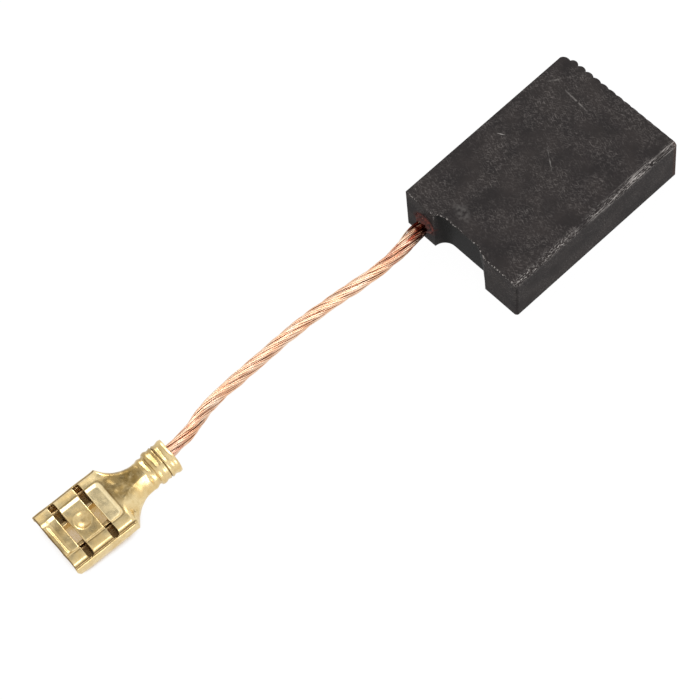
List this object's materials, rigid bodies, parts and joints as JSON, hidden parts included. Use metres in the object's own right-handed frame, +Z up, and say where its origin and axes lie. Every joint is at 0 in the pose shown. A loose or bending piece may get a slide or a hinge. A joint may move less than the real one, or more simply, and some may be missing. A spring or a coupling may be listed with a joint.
{
  "type": "carbon brush",
  "caption": "Graphite brush block with a notched spring end and ribbed running face, a copper rope shunt and a crimped push-on terminal.",
  "frame": {"origin": "middle of the graphite block's lower broad face", "axes": "+Y from the spring end to the running face, +Z up through the block's thickness, +X across its width away from the rope"},
  "size_m": [0.0179, 0.0749, 0.0063],
  "materials": {
    "graphite": "pressed and sintered carbon-graphite, matt, with fine grinding lines",
    "copper_powder": "compacted copper powder, rough and dark",
    "copper_strands": "bright soft copper wires, bare",
    "brass_sheet": "bright stamped brass strip"
  },
  "bodies": {
    "root": {"carbon_block": "graphite", "tamped_plug": "copper_powder", "copper_shunt": "copper_strands", "receptacle_terminal": "brass_sheet"}
  },
  "joints": []
}
